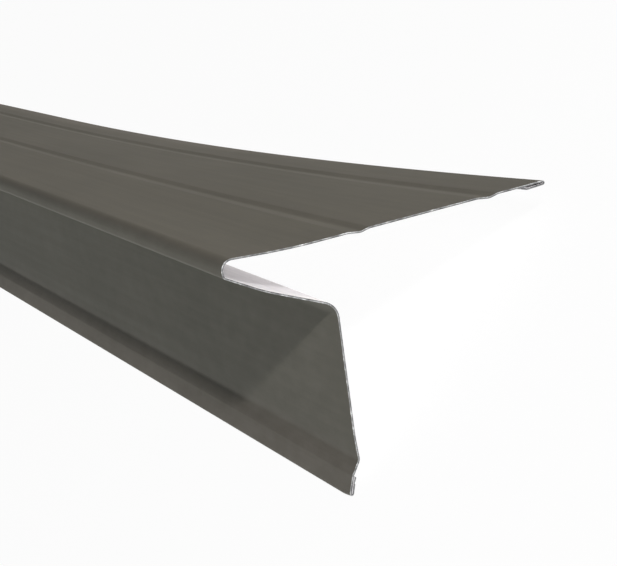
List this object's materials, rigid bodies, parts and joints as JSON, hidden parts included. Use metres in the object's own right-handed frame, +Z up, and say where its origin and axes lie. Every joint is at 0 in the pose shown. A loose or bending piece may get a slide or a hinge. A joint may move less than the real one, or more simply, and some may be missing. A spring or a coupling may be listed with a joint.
{
  "type": "drip edge flashing",
  "caption": "Ribbed roof drip edge in dark bronze coated aluminium, with a hemmed roof flange, a folded nose, a fascia face and a hemmed kick, sprung open at one end",
  "frame": {"origin": "centre of the bounding box's base, on the level floor that the strip lies on", "axes": "+X along the stock towards the sprung end, -Y towards the nose, +Y towards the flange hem, +Z up"},
  "size_m": [3.048, 0.1062, 0.0734],
  "materials": {
    "coated_aluminium": "low-gloss bronze coil coating, with a pale primer back and bare cut ends"
  },
  "bodies": {
    "root": {"drip_edge": "coated_aluminium"}
  },
  "joints": []
}
